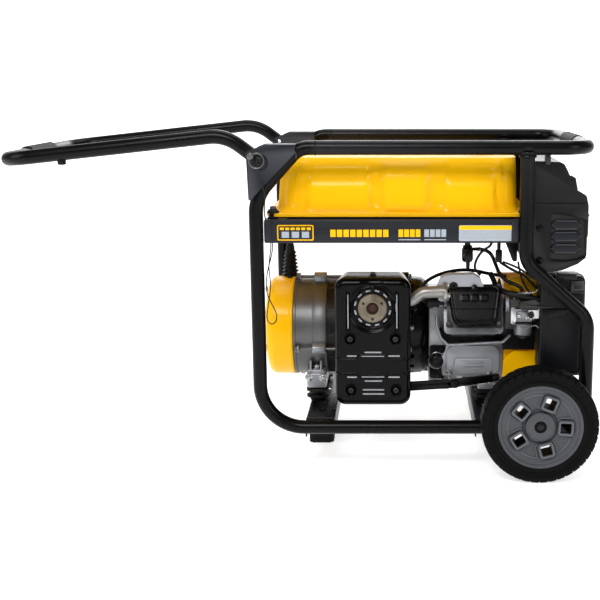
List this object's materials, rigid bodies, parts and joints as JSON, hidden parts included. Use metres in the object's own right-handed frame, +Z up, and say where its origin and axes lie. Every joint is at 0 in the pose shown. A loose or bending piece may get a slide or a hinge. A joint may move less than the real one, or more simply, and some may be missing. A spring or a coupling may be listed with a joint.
{
  "type": "portable generator",
  "caption": "Open-frame petrol generator: tubular cradle, pull handle, wheels, tank, inclined engine with recoil starter, alternator and outlet panel.",
  "frame": {"origin": "on the ground under the middle of the whole machine's box", "axes": "+X towards the wheels and the control panel, -Y towards the muffler side, +Z up"},
  "size_m": [1.082, 0.575, 0.633],
  "materials": {
    "frame_paint": "satin black powder coat",
    "bracket_paint": "slate grey powder coat",
    "rail_paint": "dark grey powder coat",
    "yellow_paint": "gloss yellow",
    "black_enamel": "gloss black",
    "shield_enamel": "gloss black stove enamel",
    "grip_rubber": "moulded matte",
    "mount_rubber": "moulded matte",
    "hose_rubber": "extruded satin",
    "tyre_rubber": "moulded matte",
    "rim_plastic": "satin moulded grey",
    "housing_plastic": "textured dark grey",
    "face_plastic": "fine textured black",
    "airbox_plastic": "textured dark grey",
    "cap_plastic": "satin black",
    "cover_plastic": "smoke black",
    "socket_plastic": "satin black",
    "button_plastic": "red",
    "switch_plastic": "red",
    "lanyard_cord": "plastic coated black cord",
    "filter_foam": "open foam",
    "zinc_steel": "zinc plated",
    "black_steel": "black oxide",
    "bright_steel": "nickel plated",
    "stator_steel": "varnished laminations",
    "exhaust_steel": "heat tinted",
    "arrestor_steel": "bronze heat tint",
    "cast_alloy": "sand cast",
    "cast_iron_grey": "machined"
  },
  "bodies": {
    "frame": {"side_frame_near": "frame_paint", "side_frame_far": "frame_paint", "top_loop": "frame_paint", "front_grip": "grip_rubber", "cross_members": "frame_paint", "support_feet": "frame_paint", "rubber_mounts": "mount_rubber", "axle": "zinc_steel", "hinge_brackets": "bracket_paint", "pivot_bolts": "black_steel", "lanyard": "lanyard_cord", "tank_rails": "rail_paint", "tank_shell": "yellow_paint", "tank_bolts": "black_steel", "fuel_valve": "cast_alloy", "fuel_hose": "hose_rubber", "control_housing": "housing_plastic", "control_face": "face_plastic", "outlets": "socket_plastic", "alternator_end_cover": "yellow_paint", "alternator_end_bell": "cast_alloy", "stator": "stator_steel", "adaptor_housing": "black_enamel", "through_bolts": "zinc_steel", "harness_boot": "hose_rubber", "crankcase": "cast_alloy", "cylinder_head": "cast_alloy", "valve_cover": "black_enamel", "fan_shroud": "yellow_paint", "recoil_housing": "black_enamel", "air_cleaner_box": "airbox_plastic", "air_filter": "filter_foam", "carburettor": "cast_alloy", "spark_plug": "hose_rubber", "heat_shield": "shield_enamel", "muffler_body": "exhaust_steel", "spark_arrestor": "arrestor_steel"},
    "handle": {"handle_tube": "frame_paint", "handle_grip": "grip_rubber", "handle_bumpers": "mount_rubber"},
    "lock_pin": {"lock_pin": "bright_steel"},
    "wheel_near": {"tyre_near": "tyre_rubber", "rim_near": "rim_plastic"},
    "wheel_far": {"tyre_far": "tyre_rubber", "rim_far": "rim_plastic"},
    "fuel_cap": {"fuel_cap": "cap_plastic"},
    "fuel_valve_lever": {"fuel_valve_lever": "cap_plastic"},
    "outlet_cover": {"outlet_cover": "cover_plastic"},
    "breaker_button_1": {"breaker_button_1": "button_plastic"},
    "breaker_button_2": {"breaker_button_2": "button_plastic"},
    "engine_switch": {"engine_switch": "switch_plastic"},
    "crank": {"rotor": "stator_steel", "crankshaft": "zinc_steel", "flywheel": "cast_iron_grey"},
    "piston": {"piston": "cast_alloy"},
    "rope_pulley": {"rope_pulley": "cap_plastic"},
    "recoil_grip": {"recoil_grip": "grip_rubber"},
    "choke_lever": {"choke_lever": "cap_plastic"},
    "air_cleaner_latch": {"air_cleaner_latch": "bright_steel"},
    "dipstick": {"dipstick": "cap_plastic"}
  },
  "joints": [
    {"name": "handle_fold", "type": "hinge", "parent": "frame", "child": "handle", "pos_m": [-0.0627, 0, 0.5754], "axis": [0, -1, 0], "range_deg": [0, 85]},
    {"name": "lock_pin_pull", "type": "slide", "parent": "frame", "child": "lock_pin", "axis": [0, -1, 0], "range_m": [0, 0.045]},
    {"name": "wheel_near_roll", "type": "hinge", "parent": "frame", "child": "wheel_near", "pos_m": [0.435, -0.2625, 0.106], "axis": [0, 1, 0], "continuous": true},
    {"name": "wheel_far_roll", "type": "hinge", "parent": "frame", "child": "wheel_far", "pos_m": [0.435, 0.2625, 0.106], "axis": [0, 1, 0], "continuous": true},
    {"name": "fuel_cap_turn", "type": "hinge", "parent": "frame", "child": "fuel_cap", "pos_m": [0.339, 0, 0.589], "axis": [0, 0, 1], "range_deg": [0, 120]},
    {"name": "fuel_valve_turn", "type": "hinge", "parent": "frame", "child": "fuel_valve_lever", "pos_m": [0.311, -0.117, 0.39], "axis": [0, -1, 0], "range_deg": [0, 90]},
    {"name": "outlet_cover_flip", "type": "hinge", "parent": "frame", "child": "outlet_cover", "pos_m": [0.531, -0.105, 0.471], "axis": [0, -1, 0], "range_deg": [0, 110]},
    {"name": "breaker_push_1", "type": "slide", "parent": "frame", "child": "breaker_button_1", "axis": [-1, 0, 0], "range_m": [0, 0.0035], "stiffness_N_per_m": 400},
    {"name": "breaker_push_2", "type": "slide", "parent": "frame", "child": "breaker_button_2", "axis": [-1, 0, 0], "range_m": [0, 0.0035], "stiffness_N_per_m": 400},
    {"name": "engine_switch_rock", "type": "hinge", "parent": "frame", "child": "engine_switch", "pos_m": [0.525, 0.11, 0.462], "axis": [0, -1, 0], "range_deg": [0, 16]},
    {"name": "crank_spin", "type": "hinge", "parent": "frame", "child": "crank", "pos_m": [0.184, 0, 0.2316], "axis": [1, 0, 0], "continuous": true},
    {"name": "piston_slide", "type": "slide", "parent": "frame", "child": "piston", "axis": [0, -0.9063, 0.4226], "range_m": [-0.022, 0.022]},
    {"name": "recoil_pull", "type": "slide", "parent": "frame", "child": "recoil_grip", "axis": [1, 0, 0], "range_m": [0, 0.5], "stiffness_N_per_m": 40},
    {"name": "pulley_spin", "type": "hinge", "parent": "frame", "child": "rope_pulley", "pos_m": [0.489, 0, 0.2316], "axis": [1, 0, 0], "range_deg": [0, 480]},
    {"name": "choke_turn", "type": "hinge", "parent": "frame", "child": "choke_lever", "pos_m": [0.451, -0.176, 0.293], "axis": [0, 1, 0], "range_deg": [0, 45]},
    {"name": "air_cleaner_latch_turn", "type": "hinge", "parent": "frame", "child": "air_cleaner_latch", "pos_m": [0.511, -0.1755, 0.332], "axis": [1, 0, 0], "range_deg": [0, 120]},
    {"name": "dipstick_turn", "type": "hinge", "parent": "frame", "child": "dipstick", "pos_m": [0.254, -0.098, 0.18], "axis": [0, -1, 0], "range_deg": [0, 360]}
  ],
  "couplings": [
    {"joint": "pulley_spin", "follows": "recoil_pull", "rad_per_m": 16.667}
  ]
}
